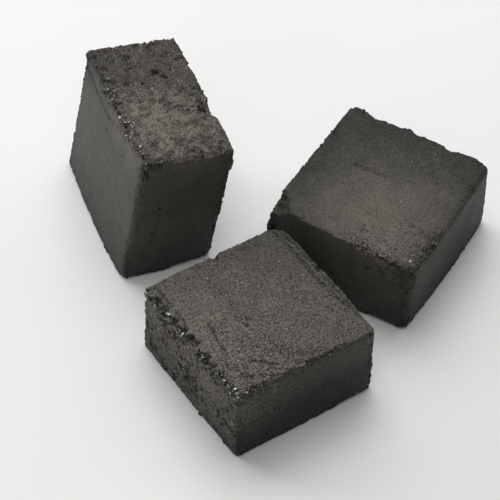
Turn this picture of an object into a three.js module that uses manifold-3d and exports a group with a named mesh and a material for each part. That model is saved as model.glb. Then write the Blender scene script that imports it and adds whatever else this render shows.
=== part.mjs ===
// Three loose blocks of pressed charcoal, set down on a table: two lie on their big faces and one stands on a
// narrow side. Ground charcoal and binder are pressed into a slab and cut up, so every block starts from the same
// length, width and thickness, and then leans, tapers, bulges and crumbles in its own way.
// Millimetres, +Z up. The table is z = 0, and the origin is the middle of the whole group's footprint.

import * as THREE from "three";
import { mergeVertices } from "three/addons/utils/BufferGeometryUtils.js";
import Module from "manifold-3d";

// Driving dimensions of the pressed slab that the blocks are cut from.
const LENGTH = 27;
const WIDTH = 25;
const THICKNESS = 14.5;

// How the blocks are set down: two gaps, and the places along the faces, from -1 to 1, where they are measured.
const CORNER_GAP = 0.6; // front block's far corner, before it is rounded, to the right block's near face
const CORNER_MEETS_AT = -0.8;
const AISLE = 10.1; // standing block's near corner to the front block's far left face
const AISLE_FROM = 0.515;

// Worn edges and the facets that round them and a broken edge.
const EDGE_WEAR = 0.3;
const WEAR_FACETS = 2;
const CURVE_FACETS = 6;
const BREAK_SIDES = 7;

// Lumps are turned by their place along the block, so that no two lie alike: degrees for each half length.
const LUMP_TURN = 90;

// The bulge of a side is drawn as a curve whose handle stands off twice as far as the bulge itself.
const HANDLE = 2;

const wasm = await Module();
wasm.setup();

const radians = THREE.MathUtils.degToRad;

// Each block has its own axes: x runs along it towards the viewer's side, y across it, z up. Places on it are given
// as shares [u, v, t]: u and v from -1 to 1 between its side faces, and t from 0 at its foot to 1 at its top.
//   foot     length and width of its footprint
//   lean     how far its top stands over to one side of its foot, along x and y
//   slope    rise of its top along x and y
//   twist    height by which opposite corners of its top go up and down
//   taper    share by which its top is longer and wider than its foot
//   belly    bulge in the middle of its sides: near left, near right, far right and far left
//   corners  radius of its upright edges: left, near, right and far
//   turn     how it is turned on the table, in degrees
const frontBlock = {
  name: "front_block",
  foot: [LENGTH, WIDTH + 0.2],
  height: THICKNESS + 0.1,
  lean: [0.8, -0.3],
  slope: [0.023, -0.011],
  twist: -0.2,
  taper: [-0.016, 0.008],
  belly: [0.15, 0.1, 0.1, 0.1],
  corners: [0.7, 0.5, 0.8, 2.2],
  turn: -57,
};

const rightBlock = {
  name: "right_block",
  foot: [WIDTH + 0.5, LENGTH + 1],
  height: THICKNESS,
  lean: [0.6, -0.2],
  slope: [-0.051, 0],
  twist: 0.25,
  taper: [0.004, -0.055],
  belly: [0.1, 0.3, 0.1, 0],
  corners: [0.6, 0.8, 0.7, 0.5],
  turn: -30.3,
};

const standingBlock = {
  name: "standing_block",
  foot: [LENGTH + 1.6, THICKNESS + 0.9],
  height: WIDTH,
  lean: [1.5, 4],
  slope: [0.028, -0.131],
  twist: 0,
  taper: [0.003, -0.04],
  belly: [0.5, 0.4, 0.15, 0.1],
  corners: [0.6, 0.5, 0.5, 0.6],
  turn: -69.7,
};

// The point of a block at its shares [u, v, t].
function pointOf(block, [u, v, t]) {
  const [length, width] = block.foot;
  const x = (u * length) / 2;
  const y = (v * width) / 2;
  const rise = block.height + block.slope[0] * x + block.slope[1] * y + block.twist * u * v;
  return new THREE.Vector3(
    x * (1 + block.taper[0] * t) + block.lean[0] * t,
    y * (1 + block.taper[1] * t) + block.lean[1] * t,
    rise * t,
  );
}

// The footprint: four corners counter-clockwise from the left one, each rounded, with sides that bulge a little.
function footprint(block) {
  const [length, width] = block.foot;
  const corners = [
    [-1, -1],
    [1, -1],
    [1, 1],
    [-1, 1],
  ].map(([u, v]) => new THREE.Vector2((u * length) / 2, (v * width) / 2));
  const shape = new THREE.Shape();
  const stepFrom = (corner, other, distance) =>
    other.clone().sub(corner).setLength(distance).add(corner);
  const leave = (i) => stepFrom(corners[i], corners[(i + 1) % 4], block.corners[i]);
  shape.moveTo(...leave(0));
  for (let i = 1; i <= 4; i++) {
    const corner = corners[i % 4];
    const reach = stepFrom(corner, corners[i - 1], block.corners[i % 4]);
    const side = reach.clone().sub(shape.currentPoint);
    const outward = new THREE.Vector2(side.y, -side.x).setLength(HANDLE * block.belly[i - 1]);
    const handle = shape.currentPoint.clone().lerp(reach, 0.5).add(outward);
    shape.quadraticCurveTo(...handle, ...reach);
    shape.quadraticCurveTo(...corner, ...leave(i % 4));
  }
  return shape;
}

// The block as it comes out of the press: its footprint raised to its height, with rubbed edges, then leaned over.
function pressed(block) {
  const geometry = new THREE.ExtrudeGeometry(footprint(block), {
    depth: block.height - 2 * EDGE_WEAR,
    curveSegments: CURVE_FACETS,
    bevelThickness: EDGE_WEAR,
    bevelSize: EDGE_WEAR,
    bevelOffset: -EDGE_WEAR,
    bevelSegments: WEAR_FACETS,
  });
  geometry.translate(0, 0, EDGE_WEAR);
  const [length, width] = block.foot;
  const position = geometry.attributes.position;
  const point = new THREE.Vector3();
  for (let i = 0; i < position.count; i++) {
    point.fromBufferAttribute(position, i);
    const shares = [(2 * point.x) / length, (2 * point.y) / width, point.z / block.height];
    position.setXYZ(i, ...pointOf(block, shares));
  }
  return geometry;
}

// A lump with flat faces, for a chip broken out or a crumb left standing: its half sizes are given along the block,
// across it and up, and its middle sits at shares [u, v, t] of the block.
function lump(block, at, [along, across, up]) {
  const geometry = new THREE.IcosahedronGeometry(1, 1);
  geometry.rotateZ(radians(at[0] * LUMP_TURN));
  geometry.scale(along, across, up);
  return geometry.translate(...pointOf(block, at));
}

// A square-sided lump that lies along the block: its full sizes are given along it, across it and up.
function brick(block, at, [along, across, up]) {
  return new THREE.BoxGeometry(along, across, up).translate(...pointOf(block, at));
}

// A round bar between two places of a block, for an edge that is broken off along a length.
function bar(block, from, to, radius) {
  const start = pointOf(block, from);
  const end = pointOf(block, to);
  const line = end.clone().sub(start);
  const geometry = new THREE.CylinderGeometry(radius, radius, line.length(), BREAK_SIDES);
  const direction = line.normalize();
  const turned = new THREE.Quaternion().setFromUnitVectors(THREE.Object3D.DEFAULT_UP, direction);
  geometry.applyQuaternion(turned);
  return geometry.translate(...start.lerp(end, 0.5));
}

// A closed geometry as a solid for joining and cutting, and back again.
function solidOf(geometry) {
  geometry.deleteAttribute("normal");
  geometry.deleteAttribute("uv");
  const merged = mergeVertices(geometry, 1e-4);
  return new wasm.Manifold(
    new wasm.Mesh({
      numProp: 3,
      vertProperties: merged.attributes.position.array,
      triVerts: merged.index.array,
    }),
  );
}

function geometryOf(solid) {
  const { vertProperties, triVerts } = solid.getMesh();
  const geometry = new THREE.BufferGeometry();
  geometry.setAttribute("position", new THREE.BufferAttribute(vertProperties, 3));
  geometry.setIndex(new THREE.BufferAttribute(triVerts, 1));
  const faceted = geometry.toNonIndexed();
  faceted.computeVertexNormals();
  return faceted;
}

// A finished block: the pressed body, with its crumbs joined on and its chips broken out.
function makeBlock(block, material, { crumbs = [], chips = [] }) {
  let solid = solidOf(pressed(block));
  for (const crumb of crumbs) solid = solid.add(solidOf(crumb));
  for (const chip of chips) solid = solid.subtract(solidOf(chip));
  const mesh = new THREE.Mesh(geometryOf(solid), material);
  mesh.name = block.name;
  mesh.rotation.z = radians(block.turn);
  return mesh;
}

// Where a place on a turned block comes to on the table, and the directions in which its sides face.
function onTable(mesh, block, shares) {
  return pointOf(block, shares).applyEuler(mesh.rotation).add(mesh.position);
}

function facing(mesh, x, y) {
  return new THREE.Vector3(x, y, 0).applyEuler(mesh.rotation);
}

// Sets a block down so that its foot at [u, v] comes to a given point of the table.
function setDown(mesh, block, [u, v], point) {
  mesh.position.set(0, 0, 0);
  const foot = onTable(mesh, block, [u, v, 0]);
  mesh.position.copy(point).sub(foot);
}

const coal = (color, roughness) => new THREE.MeshStandardMaterial({ color, roughness, metalness: 0 });

// The right block lies at the back: a corner is broken off its top at the left, and its far top edge is nibbled.
const right = makeBlock(rightBlock, coal(0x3b3937, 0.7), {
  crumbs: [
    lump(rightBlock, [-0.86, 1.01, 0.95], [1.5, 0.7, 0.8]),
    lump(rightBlock, [-0.18, 1.01, 0.95], [1.2, 0.6, 0.7]),
    lump(rightBlock, [0.72, 1.0, 0.96], [2.5, 0.4, 0.5]),
    lump(rightBlock, [-0.97, -0.97, 0.6], [0.8, 0.8, 3.2]),
  ],
  chips: [
    lump(rightBlock, [-1.07, -1.05, 1.1], [4.8, 5.6, 3.8]),
    lump(rightBlock, [-0.62, 1.06, 1.0], [1.7, 1.2, 1.5]),
    lump(rightBlock, [-0.02, 1.06, 1.0], [0.8, 1.0, 1.2]),
    lump(rightBlock, [0.44, 1.07, 1.0], [1.6, 1.5, 1.6]),
    lump(rightBlock, [0.32, -1.04, 1.02], [1.5, 1.0, 0.8]),
    lump(rightBlock, [1.05, -1.05, 0.0], [1.3, 1.3, 1.6]),
  ],
});

// The front block lies nearest: the top edge on its left side is broken away along almost its whole length, with
// one deep square-sided hole where a lump has dropped out.
const front = makeBlock(frontBlock, coal(0x393735, 0.65), {
  chips: [
    bar(frontBlock, [-0.86, -1, 1], [0.96, -1, 1], 0.75),
    brick(frontBlock, [-0.02, -0.95, 1.0], [2.1, 1.9, 2.8]),
    lump(frontBlock, [-0.98, 0.02, 1.0], [1.2, 0.6, 1.0]),
    lump(frontBlock, [-1.02, -1.02, 0.36], [0.6, 0.6, 0.5]),
    lump(frontBlock, [-1.04, -1.04, 0.0], [0.8, 0.8, 1.0]),
    lump(frontBlock, [1.04, 1.04, 0.0], [1.2, 1.1, 1.8]),
  ],
});

// The standing block stands on a narrow side, leaning to the right: a bite is out of its top edge, and its near
// foot corner is chipped.
const standing = makeBlock(standingBlock, coal(0x3d3b39, 0.7), {
  crumbs: [
    lump(standingBlock, [-0.95, -0.93, 0.965], [1.2, 1.0, 0.8]),
    lump(standingBlock, [0.68, 1.0, 0.96], [2.4, 0.5, 0.7]),
    lump(standingBlock, [0.95, 0.94, 0.88], [1.1, 0.9, 1.6]),
  ],
  chips: [
    lump(standingBlock, [0.26, 1.06, 1.0], [2.6, 1.3, 1.5]),
    lump(standingBlock, [1.06, -1.04, -0.01], [2.4, 1.2, 1.8]),
    lump(standingBlock, [-0.94, -0.7, 1.03], [0.8, 1.2, 0.8]),
  ],
});

// The right block is set down first. The front block's far corner comes close to its near face, and the standing
// block's near right corner stands off across an aisle from the front block.
const nearFace = onTable(right, rightBlock, [CORNER_MEETS_AT, -1, 0]);
nearFace.addScaledVector(facing(right, 0, -1), CORNER_GAP);
setDown(front, frontBlock, [-1, 1], nearFace);

const farLeftFace = onTable(front, frontBlock, [-1, AISLE_FROM, 0]);
farLeftFace.addScaledVector(facing(front, -1, 0), AISLE);
setDown(standing, standingBlock, [1, 1], farLeftFace);

const group = new THREE.Group();
group.add(front, standing, right);

// The origin goes to the middle of the group's footprint.
const middle = new THREE.Box3().setFromObject(group, true).getCenter(new THREE.Vector3());
for (const mesh of group.children) {
  mesh.position.x -= middle.x;
  mesh.position.y -= middle.y;
}

export default group;
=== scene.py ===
# Three blocks of pressed charcoal on a white table: two lie on their big faces, and one stands on a narrow
# side. Lengths are in metres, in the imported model's own frame, and are written as millimetres times MM.

import math

import bmesh
import bpy
from mathutils import Matrix, Vector


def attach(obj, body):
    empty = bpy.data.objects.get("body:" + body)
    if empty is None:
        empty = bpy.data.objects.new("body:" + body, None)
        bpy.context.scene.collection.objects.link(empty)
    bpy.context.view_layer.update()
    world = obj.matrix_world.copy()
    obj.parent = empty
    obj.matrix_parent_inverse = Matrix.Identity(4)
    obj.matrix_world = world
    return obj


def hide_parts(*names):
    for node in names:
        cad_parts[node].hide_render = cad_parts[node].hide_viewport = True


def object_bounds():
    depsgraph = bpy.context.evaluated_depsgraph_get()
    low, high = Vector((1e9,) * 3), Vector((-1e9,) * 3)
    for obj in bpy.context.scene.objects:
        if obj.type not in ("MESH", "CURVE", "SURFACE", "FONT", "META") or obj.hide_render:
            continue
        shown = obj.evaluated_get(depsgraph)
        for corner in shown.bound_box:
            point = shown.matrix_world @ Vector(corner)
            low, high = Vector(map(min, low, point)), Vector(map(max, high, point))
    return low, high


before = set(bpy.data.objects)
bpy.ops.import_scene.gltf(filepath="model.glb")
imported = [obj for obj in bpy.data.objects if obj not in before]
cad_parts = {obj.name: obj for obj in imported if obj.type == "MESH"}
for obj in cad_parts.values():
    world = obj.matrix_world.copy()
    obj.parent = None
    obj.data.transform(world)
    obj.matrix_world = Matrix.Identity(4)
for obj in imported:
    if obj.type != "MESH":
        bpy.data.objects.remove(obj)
cad_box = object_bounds()
MM = 0.001


# -------------------------------------------------------------------------------------------------------
# The front block. A flat square of ground charcoal and binder, pressed hard and cut from a slab. Its skin
# is fine grit with a few pits, its top left edge is broken away, and the break shows hard, glassy grains of
# carbon.


def put(tree, kind, inputs=(), **settings):
    """Adds a node and fills its sockets. A value that is itself a socket is linked, any other is set."""
    node = tree.nodes.new(kind)
    for setting, value in settings.items():
        setattr(node, setting, value)
    for key, value in dict(inputs).items():
        if isinstance(value, bpy.types.NodeSocket):
            tree.links.new(value, node.inputs[key])
        else:
            node.inputs[key].default_value = value
    return node


def calc(tree, operation, first, second=0.0):
    """A sum, product, power or comparison of two numbers that vary over a surface."""
    return put(tree, "ShaderNodeMath", {0: first, 1: second}, operation=operation).outputs[0]


def times(tree, *numbers):
    product = numbers[0]
    for number in numbers[1:]:
        product = calc(tree, "MULTIPLY", product, number)
    return product


def plus(tree, *numbers):
    total = numbers[0]
    for number in numbers[1:]:
        total = calc(tree, "ADD", total, number)
    return total


def flip(tree, share):
    return calc(tree, "SUBTRACT", 1.0, share)


def fade(tree, value, start, end):
    """Goes smoothly from 0 where value is at start to 1 where it is at end."""
    inputs = {"Value": value, "From Min": start, "From Max": end}
    return put(tree, "ShaderNodeMapRange", inputs, interpolation_type="SMOOTHSTEP").outputs[0]


def between(tree, share, low, high):
    """The number a share of the way from low to high."""
    inputs = {"Value": share, "To Min": low, "To Max": high}
    return put(tree, "ShaderNodeMapRange", inputs, clamp=True).outputs[0]


def mixed(tree, share, first, second):
    """The colour a share of the way from the first to the second."""
    return put(tree, "ShaderNodeMix", {0: share, 6: first, 7: second}, data_type="RGBA").outputs[2]


def passed(tree, geometry, kind, inputs=()):
    """Geometry after one more node."""
    return put(tree, kind, {"Geometry": geometry, **dict(inputs)}).outputs[0]


def noise(tree, spot, size, detail=2.0, roughness=0.5):
    """Cloudy noise with features of about this size, mostly between -0.5 and 0.5."""
    scale = calc(tree, "DIVIDE", 1.0, size)
    inputs = {"Vector": spot, "Scale": scale, "Detail": detail, "Roughness": roughness}
    cloud = put(tree, "ShaderNodeTexNoise", inputs).outputs["Fac"]
    return calc(tree, "MULTIPLY", calc(tree, "SUBTRACT", cloud, 0.5), 2.0)


def new_tree(name, kind, inputs, outputs):
    """An empty node tree with named sockets. Returns the tree, its inputs, and the node for its outputs."""
    tree = bpy.data.node_groups.new(name, kind)
    for label, socket_type, value in inputs:
        socket = tree.interface.new_socket(label, in_out="INPUT", socket_type=socket_type)
        if value is not None:
            socket.default_value = value
    for label, socket_type in outputs:
        tree.interface.new_socket(label, in_out="OUTPUT", socket_type=socket_type)
    return tree, tree.nodes.new("NodeGroupInput").outputs, tree.nodes.new("NodeGroupOutput")


class Lie:
    """How a block lies: its own axes on the table, and where its foot and its head reach along them."""

    FOOT_TOP = 1 * MM  # points lower than this are the foot's
    HEAD_SHARE = 0.8  # points above this share of the height are the head's

    def __init__(self, node, turn):
        self.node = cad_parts[node]
        self.turned = Matrix.Rotation(math.radians(turn), 3, "Z")
        points = [self.turned.transposed() @ v.co for v in self.node.data.vertices]
        self.height = max(p.z for p in points)
        foot = [p for p in points if p.z < self.FOOT_TOP]
        head = [p for p in points if p.z > self.HEAD_SHARE * self.height]
        self.foot, self.head = [
            (Vector((min(p.x for p in ring), min(p.y for p in ring), 0)),
             Vector((max(p.x for p in ring), max(p.y for p in ring), 0)))
            for ring in (foot, head)
        ]

    def place(self, u, v, t):
        """The point at u along and v across the block, from -1 to 1, and t up it, from 0 to 1."""
        corners = [
            low + Vector(((high.x - low.x) * (u + 1) / 2, (high.y - low.y) * (v + 1) / 2, 0))
            for low, high in (self.foot, self.head)
        ]
        point = corners[0].lerp(corners[1], t)
        point.z = self.height * t
        return self.turned @ point

    def on_surface(self, u, v, t):
        """The point of the block's surface that is nearest to a place."""
        return self.node.closest_point_on_mesh(self.place(u, v, t))[1]

    def along(self, x, y, z):
        """A direction given along the block's own axes."""
        return self.turned @ Vector((x, y, z))


def mesh_object(name, mesh):
    thing = bpy.data.objects.new(name, mesh)
    bpy.context.scene.collection.objects.link(thing)
    return thing


def settle(thing):
    """Turns an object's modifiers into plain mesh and takes them off."""
    depsgraph = bpy.context.evaluated_depsgraph_get()
    mesh = bpy.data.meshes.new_from_object(thing.evaluated_get(depsgraph))
    old = thing.data
    thing.modifiers.clear()
    thing.data = mesh
    bpy.data.meshes.remove(old)
    mesh.name = thing.name


def run_tree(thing, tree, values):
    """Runs Geometry Nodes on a thing with these values of its named inputs, and keeps the plain mesh."""
    modifier = thing.modifiers.new(tree.name, "NODES")
    modifier.node_group = tree
    for socket in tree.interface.items_tree:
        if socket.in_out == "INPUT" and socket.name in values:
            modifier[socket.identifier] = values[socket.name]
    settle(thing)


WELD_WITHIN = 0.001 * MM


def merged(node):
    """A bmesh of a CAD node with its loose triangles joined up."""
    bm = bmesh.new()
    bm.from_mesh(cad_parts[node].data)
    bmesh.ops.remove_doubles(bm, verts=bm.verts, dist=WELD_WITHIN)
    bm.normal_update()
    return bm


SKIN_STEP = 0.205 * MM  # how fine the skin's mesh is


def close_skin(name, node):
    """The block's shape as a close, even net of small faces."""
    bm = merged(node)
    mesh = bpy.data.meshes.new(name)
    bm.to_mesh(mesh)
    bm.free()
    thing = mesh_object(name, mesh)
    remesh = thing.modifiers.new("Net", "REMESH")
    remesh.mode = "VOXEL"
    remesh.voxel_size = SKIN_STEP
    remesh.adaptivity = 0
    settle(thing)
    return thing


SIDE_WITHIN = math.radians(25)  # facets this close to an axis set the lean of that side
FLAT_WITHIN = math.radians(11)  # a facet that leans further from all six sides is worn or broken


def worn_places(node, lie):
    """The facets of a block that belong to none of its six sides: rubbed edges, chips and crumbs."""
    bm = merged(node)
    axes = [lie.along(*a) for a in ((1, 0, 0), (-1, 0, 0), (0, 1, 0), (0, -1, 0), (0, 0, 1), (0, 0, -1))]
    sides = []
    for axis in axes:
        near = [f for f in bm.faces if f.normal.angle(axis) < SIDE_WITHIN]
        sides.append(sum((f.normal * f.calc_area() for f in near), Vector()).normalized())
    flat = [f for f in bm.faces if min(f.normal.angle(side) for side in sides) < FLAT_WITHIN]
    bmesh.ops.delete(bm, geom=flat, context="FACES")
    mesh = bpy.data.meshes.new(node + " worn places")
    bm.to_mesh(mesh)
    bm.free()
    return mesh_object(mesh.name, mesh)


def wires(name, lie, lines):
    """Lines laid on a block's surface, which its cracks, furrows and breaks follow. A line of one place is
    a point."""
    mesh = bpy.data.meshes.new(name)
    points, edges = [], []
    for line in lines:
        edges += [(len(points) + i, len(points) + i + 1) for i in range(len(line) - 1)]
        points += [lie.on_surface(*place) for place in line]
    mesh.from_pydata(points, edges, [])
    return mesh_object(name, mesh)


def pressed_skin_tree():
    """Geometry Nodes that weather a close skin: it waves a little, is gritty and pitted, is rounded where it
    is rubbed, and is cracked, furrowed and broken along wires. Attributes on it say how much each place is
    worn, broken, a hole, a pit, a crack, on the rough side, or facing upward."""
    number = "NodeSocketFloat"
    tree, given, result = new_tree(
        "Pressed skin",
        "GeometryNodeTree",
        [
            ("Geometry", "NodeSocketGeometry", None),
            ("Worn places", "NodeSocketObject", None),
            ("Breaks", "NodeSocketObject", None),
            ("Cracks", "NodeSocketObject", None),
            ("Furrows", "NodeSocketObject", None),
            ("Holes", "NodeSocketObject", None),
            ("Rubbed", "NodeSocketObject", None),
            ("Shift", "NodeSocketVector", None),
            ("Rough side", "NodeSocketVector", None),
            ("Wave", number, 0.12 * MM),
            ("Grain size", number, 0.45 * MM),
            ("Grain depth", number, 0.05 * MM),
            ("Pit size", number, 1.1 * MM),
            ("Pit depth", number, 0.22 * MM),
            ("Pit level", number, 0.42),
            ("Rough pit level", number, 0.22),
            ("Wear width", number, 1.1 * MM),
            ("Wear depth", number, 0.4 * MM),
            ("Break width", number, 1.7 * MM),
            ("Break depth", number, 1.0 * MM),
            ("Crack width", number, 0.3 * MM),
            ("Crack depth", number, 0.4 * MM),
            ("Furrow width", number, 0.6 * MM),
            ("Furrow depth", number, 0.22 * MM),
            ("Furrow mark", number, 0.43),
            ("Hole width", number, 0.8 * MM),
            ("Hole depth", number, 0.7 * MM),
            ("Rubbed width", number, 2.2 * MM),
            ("Rubbing", "NodeSocketInt", 40),
            ("Material", "NodeSocketMaterial", None),
        ],
        [("Geometry", "NodeSocketGeometry")],
    )
    here = put(tree, "GeometryNodeInputPosition").outputs[0]
    normal = put(tree, "GeometryNodeInputNormal").outputs["Normal"]

    def vector(operation, inputs):
        return put(tree, "ShaderNodeVectorMath", inputs, operation=operation).outputs

    spot = vector("ADD", {0: here, 1: given["Shift"]})[0]

    def cloud(size, detail=2.0, roughness=0.5):
        return noise(tree, spot, size, detail, roughness)

    # Lumps and grains of broken charcoal: each cell of the mass stands at its own height. They are bent out
    # of shape first, so that none is round.
    swirl = {"Vector": spot, "Scale": 1 / (0.7 * MM), "Detail": 2.0}
    bend = put(tree, "ShaderNodeTexNoise", swirl).outputs["Color"]
    bend = vector("ADD", {0: bend, 1: (-0.5, -0.5, -0.5)})[0]
    bent = vector("ADD", {0: spot, 1: vector("SCALE", {0: bend, "Scale": 0.8 * MM})[0]})[0]
    astray = vector("ADD", {0: here, 1: vector("SCALE", {0: bend, "Scale": 1.1 * MM})[0]})[0]

    def near(thing, element, width):
        """1 on a thing, going to 0 at an uneven width from it."""
        shape = put(tree, "GeometryNodeObjectInfo", {"Object": thing}).outputs["Geometry"]
        inputs = {"Geometry": shape, "Sample Position": astray}
        found = put(tree, "GeometryNodeProximity", inputs, target_element=element).outputs
        return times(tree, flip(tree, fade(tree, found["Distance"], 0.0, width)), found["Is Valid"])

    def heap(size):
        cell = put(tree, "ShaderNodeTexVoronoi", {"Vector": bent, "Scale": 1 / size}).outputs["Color"]
        return put(tree, "FunctionNodeSeparateColor", {0: cell}).outputs[0]

    lumps = plus(tree, times(tree, heap(0.8 * MM), 0.55), times(tree, heap(0.35 * MM), 0.45))

    # Wear is strongest on the worn places and fades out over an uneven width, and a break does the same.
    # Tall lumps are lost, and the few below the number taken from them stand a little proud.
    uneven = plus(tree, 1.0, cloud(3.0 * MM, 1.0))
    worn = near(given["Worn places"], "FACES", times(tree, given["Wear width"], uneven))
    broken = near(given["Breaks"], "EDGES", times(tree, given["Break width"], uneven))
    nicked = between(tree, fade(tree, cloud(2.2 * MM, 2.0, 0.6), -0.1, 0.3), 0.3, 1.7)
    crumbled = times(tree, worn, calc(tree, "SUBTRACT", lumps, 0.33), nicked, given["Wear depth"])
    broken_off = times(tree, broken, calc(tree, "SUBTRACT", lumps, 0.2), given["Break depth"])

    # Pits: irregular hollows, in clusters, and more of them on the rough side.
    facing = vector("DOT_PRODUCT", {0: normal, 1: given["Rough side"]})["Value"]
    rough = fade(tree, facing, 0.6, 0.85)
    level = plus(
        tree,
        times(tree, flip(tree, rough), given["Pit level"]),
        times(tree, rough, given["Rough pit level"]),
    )
    hollow = plus(tree, cloud(given["Pit size"], 3.0, 0.6), times(tree, cloud(5 * MM, 1.0), 0.35))
    pit = fade(tree, hollow, level, plus(tree, level, 0.16))

    # Cracks and furrows follow their wires, with a width that comes and goes. Holes are ragged too.
    ragged = plus(tree, 1.0, cloud(1.2 * MM, 2.0, 0.6))
    crack = near(given["Cracks"], "EDGES", times(tree, given["Crack width"], ragged))
    furrow = near(given["Furrows"], "EDGES", times(tree, given["Furrow width"], ragged))
    torn = plus(tree, 1.0, cloud(0.9 * MM, 2.0, 0.6))
    hole = fade(tree, near(given["Holes"], "POINTS", times(tree, given["Hole width"], torn)), 0.0, 0.55)

    coarse = plus(tree, 1.0, times(tree, rough, 2.2), broken)
    rise = plus(
        tree,
        times(tree, cloud(8 * MM, 1.0), given["Wave"]),
        times(tree, cloud(given["Grain size"], 3.0, 0.65), given["Grain depth"], coarse),
    )
    cuts = (
        crumbled,
        broken_off,
        times(tree, pit, given["Pit depth"]),
        times(tree, crack, given["Crack depth"]),
        times(tree, furrow, given["Furrow depth"]),
        times(tree, hole, plus(tree, 0.6, lumps), given["Hole depth"]),
    )
    for cut in cuts:
        rise = calc(tree, "SUBTRACT", rise, cut)
    moved = vector("ADD", {0: here, 1: vector("SCALE", {0: normal, "Scale": rise})[0]})[0]
    # Nothing sinks under the table.
    x, y, z = put(tree, "ShaderNodeSeparateXYZ", {0: moved}).outputs
    moved = put(tree, "ShaderNodeCombineXYZ", {0: x, 1: y, 2: calc(tree, "MAXIMUM", z, 0.0)}).outputs[0]

    # Rubbed corners are rounded off first, and everything else is worked into the rounded shape.
    rubbed = near(given["Rubbed"], "EDGES", given["Rubbed width"])
    rounding = {0: here, "Iterations": given["Rubbing"], "Weight": rubbed}
    rounded = put(tree, "GeometryNodeBlurAttribute", rounding, data_type="FLOAT_VECTOR").outputs[0]
    skin = passed(tree, given["Geometry"], "GeometryNodeSetPosition", {"Position": rounded})
    facing_up = put(tree, "ShaderNodeSeparateXYZ", {0: normal}).outputs[2]
    marks = {
        "worn": worn,
        "broken": calc(tree, "MAXIMUM", broken, hole),
        "hole": hole,
        "pit": pit,
        "crack": calc(tree, "MAXIMUM", crack, times(tree, furrow, given["Furrow mark"])),
        "rough": rough,
        "upward": fade(tree, facing_up, 0.5, 0.85),
    }
    for label, value in marks.items():
        skin = passed(tree, skin, "GeometryNodeStoreNamedAttribute", {"Name": label, "Value": value})
    skin = passed(tree, skin, "GeometryNodeSetPosition", {"Position": moved})
    skin = passed(tree, skin, "GeometryNodeSetShadeSmooth", {"Shade Smooth": True})
    skin = passed(tree, skin, "GeometryNodeRealizeInstances")
    skin = passed(tree, skin, "GeometryNodeSetMaterial", {"Material": given["Material"]})
    tree.links.new(skin, result.inputs[0])
    return tree


def glassy_grains_tree():
    """Geometry Nodes that sow small hard grains over a finished skin, thickly where it is broken."""
    number = "NodeSocketFloat"
    tree, given, result = new_tree(
        "Glassy grains",
        "GeometryNodeTree",
        [
            ("Geometry", "NodeSocketGeometry", None),
            ("Smallest", number, 0.09 * MM),
            ("Largest", number, 0.28 * MM),
            ("In breaks", number, 2.0),
            ("On worn edges", number, 0.04),
            ("Elsewhere", number, 0.006),
            ("Seed", "NodeSocketInt", 1),
            ("Material", "NodeSocketMaterial", None),
        ],
        [("Geometry", "NodeSocketGeometry")],
    )

    def kept(label):
        return put(tree, "GeometryNodeInputNamedAttribute", {"Name": label}).outputs["Attribute"]

    per_square_mm = plus(
        tree,
        times(tree, fade(tree, kept("broken"), 0.3, 0.9), given["In breaks"]),
        times(tree, kept("worn"), given["On worn edges"]),
        given["Elsewhere"],
    )
    # None on the foot, where a grain would stick out under the block.
    here = put(tree, "GeometryNodeInputPosition").outputs[0]
    height = put(tree, "ShaderNodeSeparateXYZ", {0: here}).outputs[2]
    density = times(tree, per_square_mm, 1 / MM**2, fade(tree, height, 0.4 * MM, 0.8 * MM))
    sowing = {"Mesh": given["Geometry"], "Density": density, "Seed": given["Seed"]}
    sown = put(tree, "GeometryNodeDistributePointsOnFaces", sowing).outputs["Points"]
    # A grain is a chip with flat faces, in proportions of its own.
    grain = put(tree, "GeometryNodeMeshCube", {"Size": (1.6, 1.6, 1.6)}).outputs["Mesh"]

    def chance(kind, low, high, offset):
        """A random number or vector for each grain. The sockets differ with the kind."""
        low_socket, high_socket, output = {"FLOAT": (2, 3, 1), "FLOAT_VECTOR": (0, 1, 0)}[kind]
        inputs = {low_socket: low, high_socket: high, "Seed": plus(tree, given["Seed"], float(offset))}
        return put(tree, "FunctionNodeRandomValue", inputs, data_type=kind).outputs[output]

    turn = chance("FLOAT_VECTOR", (0, 0, 0), (math.tau, math.tau, math.tau), 3)
    shape = chance("FLOAT_VECTOR", (0.4, 0.5, 0.6), (1.2, 1.3, 1.4), 5)
    # Most grains are small, and the largest are only in breaks.
    spread = times(tree, calc(tree, "POWER", chance("FLOAT", 0.0, 1.0, 7), 2.0), kept("broken"))
    growth = calc(tree, "SUBTRACT", given["Largest"], given["Smallest"])
    size = plus(tree, given["Smallest"], times(tree, spread, growth))
    scale = put(tree, "ShaderNodeVectorMath", {0: shape, "Scale": size}, operation="SCALE").outputs[0]
    rotation = put(tree, "FunctionNodeEulerToRotation", {0: turn}).outputs[0]
    placing = {"Points": sown, "Instance": grain, "Rotation": rotation, "Scale": scale}
    grains = put(tree, "GeometryNodeInstanceOnPoints", placing).outputs[0]
    grains = passed(tree, grains, "GeometryNodeRealizeInstances")
    grains = passed(tree, grains, "GeometryNodeSetMaterial", {"Material": given["Material"]})
    tree.links.new(grains, result.inputs[0])
    return tree


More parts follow.
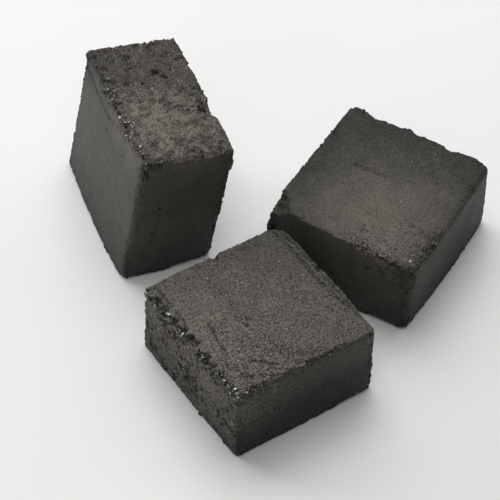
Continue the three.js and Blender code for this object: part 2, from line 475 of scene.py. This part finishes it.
def charcoal_grit_group():
    """The finish of pressed charcoal: fine dark and pale grit, slow mottling, pits, and pale painted glints.
    Painted shade darkens its hollows, sides and foot, and patches add painted light and shade to its tone.
    """
    number, colour = "NodeSocketFloat", "NodeSocketColor"
    tree, given, result = new_tree(
        "Charcoal grit",
        "ShaderNodeTree",
        [
            ("Shift", "NodeSocketVector", (0, 0, 0)),
            ("Dark", colour, (0.012, 0.0111, 0.0094, 1)),
            ("Pale", colour, (0.172, 0.157, 0.129, 1)),
            ("Brown", colour, (0.058, 0.046, 0.034, 1)),
            ("Brown share", number, 0.25),
            ("Grit size", number, 0.42 * MM),
            ("Grit contrast", number, 1.2),
            ("Pore level", number, 0.05),
            ("Mottle size", number, 3.5 * MM),
            ("Mottle contrast", number, 0.16),
            # Painted light and shade in patches, together with uneven tone.
            ("Dust", number, 0.0),
            ("Coarse", number, 0.0),
            ("Level", number, 0.3),
            ("Break shade", number, 0.22),
            # Painted shade on the sides and near the table, and pale painted glints.
            ("Side shade", number, 0.04),
            ("Foot shade", number, 0.1),
            ("Flecks", number, 0.0015),
        ],
        [("Color", colour), ("Roughness", number), ("Height", number)],
    )
    where = put(tree, "ShaderNodeTexCoord").outputs["Object"]
    spot = put(tree, "ShaderNodeVectorMath", {0: where, 1: given["Shift"]}, operation="ADD").outputs[0]

    def kept(label):
        return put(tree, "ShaderNodeAttribute", attribute_name=label).outputs["Fac"]

    marks = ("pit", "crack", "rough", "broken", "hole", "upward")
    pit, crack, rough, broken, hole, upward = (kept(mark) for mark in marks)
    coarse = plus(
        tree,
        0.3,
        times(tree, upward, 0.7),
        times(tree, rough, 1.8),
        times(tree, broken, 0.6),
        given["Coarse"],
    )
    contrast = times(tree, given["Grit contrast"], coarse)
    grit = noise(tree, spot, given["Grit size"], 2.0, 0.6)
    fine = noise(tree, spot, times(tree, given["Grit size"], 0.45), 1.0, 0.6)
    mottle = noise(tree, spot, given["Mottle size"], 3.0, 0.6)
    # Open pores between the grains, and hairlines where the skin is coarse.
    pores = noise(tree, spot, times(tree, given["Grit size"], 0.8), 2.0, 0.6)
    pores = fade(tree, pores, given["Pore level"], plus(tree, given["Pore level"], 0.25))
    fold = calc(tree, "ABSOLUTE", noise(tree, spot, 1.5 * MM, 3.0, 0.6))
    patchy = fade(tree, noise(tree, spot, 3.2 * MM, 1.0), -0.1, 0.2)
    patchy = times(tree, patchy, calc(tree, "MAXIMUM", given["Coarse"], rough))
    hairlines = times(tree, flip(tree, fade(tree, fold, 0.0, 0.07)), patchy)
    # Painted shade: the foot shade darkens the charcoal towards the table.
    height_up = put(tree, "ShaderNodeSeparateXYZ", {0: where}).outputs[2]
    low_down = fade(tree, height_up, 12 * MM, 0.0)
    # How pale the charcoal is, from 0 for its dark colour to 1 for its pale one.
    pale = plus(
        tree,
        given["Level"],
        times(tree, grit, contrast, 0.5),
        times(tree, fine, contrast, 0.7),
        times(tree, mottle, given["Mottle contrast"], plus(tree, 0.3, times(tree, upward, 0.7))),
        # Patches of painted light and shade, with uneven tone.
        given["Dust"],
        times(tree, pores, contrast, -0.28),
        # Hairlines, pits, cracks and holes are painted darker, as painted shade in the hollows.
        times(tree, hairlines, -0.55),
        times(tree, pit, -0.36),
        times(tree, crack, -0.42),
        times(tree, hole, -0.45),
        times(tree, broken, given["Break shade"], -1.0),
        # Painted shade on the sides and near the table.
        times(tree, flip(tree, upward), given["Side shade"], -1.0),
        times(tree, low_down, given["Foot shade"], -1.0),
    )
    shade = mixed(tree, pale, given["Dark"], given["Pale"])
    brownish = fade(tree, noise(tree, spot, 1.6 * MM, 2.0, 0.6), -0.1, 0.5)
    brownish = times(tree, brownish, given["Brown share"], plus(tree, 0.4, rough))
    shade = mixed(tree, brownish, shade, given["Brown"])

    # A few of the grains, picked by lot, lie flat and shine: they are less rough, and a painted glint makes
    # them pale in the colour. Breaks have many more.
    grain = put(tree, "ShaderNodeTexVoronoi", {"Vector": spot, "Scale": 1 / (0.3 * MM)}).outputs
    lot = put(tree, "ShaderNodeSeparateColor", {0: grain["Color"]}).outputs[0]
    odds = times(tree, given["Flecks"], plus(tree, 1.0, times(tree, broken, 10.0)))
    shines = calc(tree, "LESS_THAN", lot, odds)
    painted_glint = times(tree, shines, calc(tree, "LESS_THAN", grain["Distance"], 0.35))
    shade = mixed(tree, times(tree, painted_glint, 0.7), shade, (0.5, 0.49, 0.46, 1))

    roughness = plus(
        tree,
        0.56,
        times(tree, grit, 0.3),
        times(tree, pit, 0.2),
        times(tree, broken, -0.2),
        times(tree, painted_glint, -0.3),
    )
    height = plus(
        tree,
        times(tree, grit, 0.6),
        times(tree, fine, 0.4),
        times(tree, pores, -0.5),
        times(tree, hairlines, -0.4),
    )
    for source, socket in ((shade, "Color"), (roughness, "Roughness"), (height, "Height")):
        tree.links.new(source, result.inputs[socket])
    return tree


def soft_patch_group():
    """A soft-edged patch, 1 in its middle and 0 past its reach, with an uneven edge."""
    tree, given, result = new_tree(
        "Dusty patch",
        "ShaderNodeTree",
        [
            ("Centre", "NodeSocketVector", (0, 0, 0)),
            ("Reach", "NodeSocketFloat", 10 * MM),
            ("Core", "NodeSocketFloat", 2 * MM),
        ],
        [("Patch", "NodeSocketFloat")],
    )
    where = put(tree, "ShaderNodeTexCoord").outputs["Object"]
    ends = {0: where, 1: given["Centre"]}
    away = put(tree, "ShaderNodeVectorMath", ends, operation="DISTANCE").outputs["Value"]
    away = plus(tree, away, times(tree, noise(tree, where, 6 * MM, 3.0, 0.6), 3.5 * MM))
    tree.links.new(flip(tree, fade(tree, away, given["Core"], given["Reach"])), result.inputs[0])
    return tree


pressed_skin = pressed_skin_tree()
glassy_grains = glassy_grains_tree()
charcoal_grit = charcoal_grit_group()
soft_patch = soft_patch_group()


def charcoal(name, patches, **values):
    """Pressed charcoal with its own values of the grit, and patches of it that are paler, darker or coarser.
    The paler and darker patches are painted light and shade, with uneven tone.
    A patch is (what it changes, centre, core, reach, strength)."""
    material = bpy.data.materials.new(name)
    material.use_nodes = True
    tree = material.node_tree
    shader = tree.nodes["Principled BSDF"]
    grit = put(tree, "ShaderNodeGroup", node_tree=charcoal_grit)
    for label, value in values.items():
        grit.inputs[label.replace("_", " ").capitalize()].default_value = value
    for label in sorted({patch[0] for patch in patches}):
        total = 0.0
        for _, centre, core, reach, strength in (patch for patch in patches if patch[0] == label):
            patch = put(tree, "ShaderNodeGroup", node_tree=soft_patch)
            patch.inputs["Centre"].default_value = centre
            patch.inputs["Core"].default_value = core
            patch.inputs["Reach"].default_value = reach
            total = plus(tree, times(tree, patch.outputs[0], strength), total)
        tree.links.new(total, grit.inputs[label])
    relief = {"Strength": 0.8, "Distance": 0.2 * MM, "Height": grit.outputs["Height"]}
    bump = put(tree, "ShaderNodeBump", relief)
    tree.links.new(grit.outputs["Color"], shader.inputs["Base Color"])
    tree.links.new(grit.outputs["Roughness"], shader.inputs["Roughness"])
    tree.links.new(bump.outputs[0], shader.inputs["Normal"])
    shader.inputs["Specular IOR Level"].default_value = 0.3
    return material


def glassy_carbon():
    """Hard grains of carbon that shine like black glass, some clearer than others."""
    material = bpy.data.materials.new("Glassy carbon")
    material.use_nodes = True
    tree = material.node_tree
    shader = tree.nodes["Principled BSDF"]
    where = put(tree, "ShaderNodeTexCoord").outputs["Object"]
    dull = plus(tree, noise(tree, where, 1.0 * MM, 1.0), 0.5)
    tree.links.new(between(tree, dull, 0.1, 0.4), shader.inputs["Roughness"])
    tint = mixed(tree, dull, (0.02, 0.019, 0.018, 1), (0.07, 0.065, 0.06, 1))
    tree.links.new(tint, shader.inputs["Base Color"])
    shader.inputs["IOR"].default_value = 2.4
    return material


carbon_finish = glassy_carbon()


def weather(name, node, body, lie, finish, lines, skin, grains):
    """Makes a block's weathered skin and its glassy grains, and lets both ride with the block."""
    block = close_skin(name + "_charcoal", node)
    helpers = {label: wires(f"{name} {label}", lie, lines[label]) for label in lines}
    helpers["Worn places"] = worn_places(node, lie)
    run_tree(block, pressed_skin, {**helpers, **skin, "Material": finish})
    for helper in helpers.values():
        bpy.data.objects.remove(helper)
    glints = mesh_object(name + "_glassy_grains", block.data.copy())
    run_tree(glints, glassy_grains, {**grains, "Material": carbon_finish})
    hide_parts(node)
    for piece in (block, glints):
        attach(piece, body)


front_lie = Lie("front_block", -57)
front_finish = charcoal(
    "Front block charcoal",
    [
        # Patches of painted light and shade with uneven tone: paler top and rough side, darker near side.
        ("Dust", front_lie.place(0.3, 0.0, 1), 3 * MM, 15 * MM, 0.06),
        ("Dust", front_lie.place(-1, 1, 1), 2 * MM, 12 * MM, -0.07),
        ("Dust", front_lie.place(1, -1, 1), 3 * MM, 14 * MM, 0.09),
        ("Dust", front_lie.place(0.0, -1.15, 0.4), 6 * MM, 16 * MM, 0.3),
        ("Dust", front_lie.place(1.2, 0.2, 0.3), 4 * MM, 13 * MM, -0.09),
        ("Coarse", front_lie.place(1, -1, 1), 4 * MM, 20 * MM, 1.5),
        ("Coarse", front_lie.place(-1, 1, 1), 4 * MM, 16 * MM, -0.4),
    ],
    shift=(0.31, 0, 0),
    level=0.425,
    break_shade=0.16,
    # Painted shade on the sides and foot, and pale painted glints on the skin.
    side_shade=0.18,
    foot_shade=0.42,
    flecks=0.004,
)
weather(
    "front", "front_block", "front", front_lie, front_finish,
    {
        "Breaks": [
            [(-0.86, -0.98, 0.98), (0.96, -0.98, 0.98)],
            [(0.78, -0.95, 1), (0.96, -0.95, 1), (0.99, -0.82, 1)],
            [(-0.96, -0.98, 0.95), (-1, -1, 0.6)],
        ],
        "Cracks": [
            [(-0.93, -0.82, 1), (-0.55, -0.83, 1), (-0.31, -0.84, 1), (-0.22, -0.87, 1)],
            [(-0.12, -0.62, 1), (0.22, -0.68, 1), (0.40, -0.68, 1)],
            [(-0.43, -0.24, 1), (-0.41, -0.24, 1)],
            [(0.05, -0.2, 1), (0.12, -0.17, 1)],
            [(0.1, -0.28, 1), (0.17, -0.25, 1)],
            [(0.5, -0.78, 1), (0.62, -0.8, 1)],
            [(0.985, -0.75, 1), (0.975, -0.5, 1), (0.985, -0.2, 1)],
            [(0.985, 0.0, 1), (0.985, 0.55, 1)],
            [(0.62, -0.55, 1), (0.68, -0.42, 1), (0.78, -0.36, 1)],
            [(0.72, -0.72, 1), (0.84, -0.66, 1)],
        ],
        "Furrows": [
            [(-0.95, 0.84, 1), (-0.5, 0.87, 1), (0.1, 0.86, 1), (0.55, 0.92, 1)],
            [(-0.9, 0.94, 1), (-0.3, 0.96, 1), (0.7, 0.95, 1)],
        ],
        "Holes": [
            [(-0.74, -0.96, 1)],
            [(-0.58, -0.96, 1)],
            [(-0.38, -0.97, 1)],
            [(-0.2, -0.97, 1)],
            [(0.02, -0.96, 1)],
            [(0.3, -0.97, 1)],
        ],
        "Rubbed": [
            [(1, 1, 1), (1, 1, 0), (1, 0.6, 0)],
            [(-1, -1, 1), (-1, -1, 0.4)],
            [(-1, 1, 1), (-1, 1, 0.4)],
            [(0.7, 1, 1), (1, 1, 1)],
        ],
    },
    {
        "Shift": (0.31, 0.0, 0.0),
        "Rough side": front_lie.along(0, -1, 0),
        "Wear depth": 0.5 * MM,
        "Break width": 1.4 * MM,
        "Crack width": 0.34 * MM,
        "Furrow width": 0.5 * MM,
        "Furrow depth": 0.35 * MM,
        "Furrow mark": 0.7,
        "Hole width": 1.1 * MM,
        "Hole depth": 1.0 * MM,
        "Pit depth": 0.3 * MM,
        "Rough pit level": 0.1,
        "Rubbing": 20,
    },
    {"Seed": 3, "In breaks": 3.2, "Largest": 0.32 * MM},
)


# -------------------------------------------------------------------------------------------------------
# The standing block, stood on a narrow side. Its big face was pressed against a plate and is smooth, and
# its top is a rough, pitted cut edge.

standing_lie = Lie("standing_block", -69.7)
standing_finish = charcoal(
    "Standing block charcoal",
    [
        # Patches of painted light and shade with uneven tone: a paler middle of the top, darker edges.
        ("Dust", standing_lie.place(0.4, -0.2, 1.15), 6 * MM, 14 * MM, 0.46),
        ("Dust", standing_lie.place(0.1, -0.45, 1), 1 * MM, 8 * MM, 0.12),
        ("Dust", standing_lie.place(-0.5, 0.25, 1), 1 * MM, 6 * MM, -0.12),
        ("Dust", standing_lie.place(0.0, 1.0, 1), 1 * MM, 6 * MM, -0.15),
        ("Dust", standing_lie.place(-1.0, -1.0, 0.95), 2 * MM, 9 * MM, -0.3),
    ],
    shift=(0, 0.27, 0),
    level=0.36,
    # Painted shade on the foot and the sides.
    foot_shade=0.22,
    break_shade=0.24,
    side_shade=0.07,
    grit_contrast=0.68,
    mottle_size=2.2 * MM,
    mottle_contrast=0.5,
    brown_share=0.75,
)
weather(
    "standing", "standing_block", "standing", standing_lie, standing_finish,
    {
        "Breaks": [
            [(0.4, -0.94, 1), (0.95, -0.85, 1), (0.96, -0.55, 1)],
            [(-0.5, -0.88, 1), (0.35, -0.85, 1)],
            [(1, -1, 0.97), (1, -1, 0.91)],
        ],
        "Cracks": [[(0.05, 0.0, 1), (0.12, 0.2, 1)], [(0.3, -0.2, 1), (0.42, -0.1, 1)]],
        "Furrows": [
            [(0.2, 0.7, 1), (0.33, 1, 1)],
            [(-0.89, -1, 0.87), (-0.03, -1, 0.87), (0.32, -1, 0.94)],
            [(0.98, -0.5, 1), (0.97, 0.1, 1), (0.98, 0.92, 1)],
        ],
        "Holes": [
            [(-0.45, 0.22, 1)],
            [(-0.36, 0.35, 1)],
            [(0.12, -0.93, 1)],
            [(0.3, -0.93, 1)],
            [(0.24, 0.75, 1)],
        ],
        "Rubbed": [[(1, 1, 0.3), (1, 1, 0), (1, 0.3, 0)], [(1, -1, 0.9), (1, -1, 0.3)]],
    },
    {
        "Shift": (0.0, 0.27, 0.0),
        "Rough side": standing_lie.along(0, 0, 1),
        "Wear depth": 0.6 * MM,
        "Break width": 2.1 * MM,
        "Pit size": 1.5 * MM,
        "Pit depth": 0.3 * MM,
        "Rough pit level": 0.13,
    },
    {"Seed": 5, "In breaks": 1.3, "Largest": 0.22 * MM},
)


# -------------------------------------------------------------------------------------------------------
# The right block lies flat behind the others. Its top is the smoothest of the three, a corner is knocked
# off, and the edges nearest the front are crumbling.

right_lie = Lie("right_block", -30.3)
right_finish = charcoal(
    "Right block charcoal",
    [
        # Patches of painted light: a broad painted highlight over the top, and a paler near side.
        ("Dust", right_lie.place(0.2, -0.45, 1), 1 * MM, 19 * MM, 0.52),
        ("Dust", right_lie.place(0, -1.1, 0.3), 6 * MM, 16 * MM, 0.22),
        ("Dust", right_lie.place(0.65, -0.85, 1), 2 * MM, 7 * MM, 0.1),
        ("Coarse", right_lie.place(0.6, -0.9, 1), 2 * MM, 11 * MM, 2.2),
    ],
    shift=(0, 0, 0.43),
    level=0.085,
    side_shade=0.0,
    break_shade=0.0,
    grit_contrast=0.4,
)
weather(
    "right", "right_block", "right", right_lie, right_finish,
    {
        "Breaks": [[(0.1, -0.98, 1), (0.95, -0.98, 1), (0.97, -0.4, 1)]],
        "Cracks": [],
        "Furrows": [[(-0.455, 0.108, 1), (-0.035, 0.116, 1)]],
        "Holes": [[(0.34, -0.96, 1)]],
        "Rubbed": [[(1, -1, 1), (1, -1, 0), (0.6, -1, 0)], [(1, 1, 1), (1, 1, 0)], [(1, -1, 1), (1, 1, 1)]],
    },
    {
        "Shift": (0.0, 0.0, 0.43),
        "Rough side": (0.0, 0.0, -1.0),
        "Grain depth": 0.07 * MM,
        "Wear depth": 0.5 * MM,
        "Break width": 2.4 * MM,
        "Break depth": 0.6 * MM,
        "Furrow depth": 0.12 * MM,
        "Furrow mark": 0.47,
        "Hole width": 0.6 * MM,
        "Rubbing": 25,
    },
    {"Seed": 7, "In breaks": 0.4, "Elsewhere": 0.002, "On worn edges": 0.01},
)


# -------------------------------------------------------------------------------------------------------
# The table is a plain pale sheet. Soft panels light it, the strongest low at the left, and the camera looks
# down on the blocks from the front.

middle = (cad_box[0] + cad_box[1]) / 2
ground = Vector((middle.x, middle.y, 0))


def plain_sheet(name, half):
    mesh = bpy.data.meshes.new(name)
    corners = [(-half, -half, 0), (half, -half, 0), (half, half, 0), (-half, half, 0)]
    mesh.from_pydata(corners, [], [(0, 1, 2, 3)])
    return mesh_object(name, mesh)


table = plain_sheet("Table", 1.5)
table_finish = bpy.data.materials.new("White table")
table_finish.use_nodes = True
table_shader = table_finish.node_tree.nodes["Principled BSDF"]
table_shader.inputs["Base Color"].default_value = (0.8, 0.795, 0.785, 1)
table_shader.inputs["Roughness"].default_value = 0.6
table_shader.inputs["Specular IOR Level"].default_value = 0.2
table.data.materials.append(table_finish)

PANEL_DISTANCE = 0.75
# Azimuth, 0 behind the blocks and 90 at their left, elevation, both in degrees, then width and watts.
PANELS = {
    "Low left": (60, 15, 0.31, 2.6),
    "Left": (45, 25, 0.5, 0.55),
    "Back": (0, 40, 0.62, 1.33),
    "High back": (15, 55, 0.62, 1.9),
    "Overhead": (0, 82, 0.62, 2.42),
    "Front": (180, 52, 0.5, 0.66),
    "Front left": (150, 18, 0.38, 0.7),
    "Right": (305, 28, 0.75, 0.98),
}
for name, (azimuth, elevation, width, watts) in PANELS.items():
    panel = bpy.data.lights.new(name, "AREA")
    panel.size = width
    panel.energy = watts
    lamp = bpy.data.objects.new(name, panel)
    bpy.context.scene.collection.objects.link(lamp)
    a, e = math.radians(azimuth), math.radians(elevation)
    away = Vector((-math.sin(a) * math.cos(e), math.cos(a) * math.cos(e), math.sin(e)))
    lamp.location = ground + away * PANEL_DISTANCE
    lamp.rotation_euler = away.to_track_quat("Z", "Y").to_euler()

room = bpy.data.worlds.new("Room")
room.use_nodes = True
room.node_tree.nodes["Background"].inputs["Color"].default_value = (1, 1, 1, 1)
room.node_tree.nodes["Background"].inputs["Strength"].default_value = 0.045
bpy.context.scene.world = room
bpy.context.scene.view_settings.view_transform = "Standard"

CAMERA_PITCH = math.radians(47.46)
CAMERA_DISTANCE = 407.5 * MM
AIM_OFFSET = Vector((-4.0 * MM, 9.0 * MM, 0))

camera_data = bpy.data.cameras.new("Camera")
camera_data.lens = 180
camera_data.sensor_width = 36
camera = bpy.data.objects.new("Camera", camera_data)
bpy.context.scene.collection.objects.link(camera)
towards = Vector((0, math.cos(CAMERA_PITCH), -math.sin(CAMERA_PITCH)))
camera.location = ground + AIM_OFFSET - towards * CAMERA_DISTANCE
camera.rotation_euler = towards.to_track_quat("-Z", "Y").to_euler()
bpy.context.scene.camera = camera
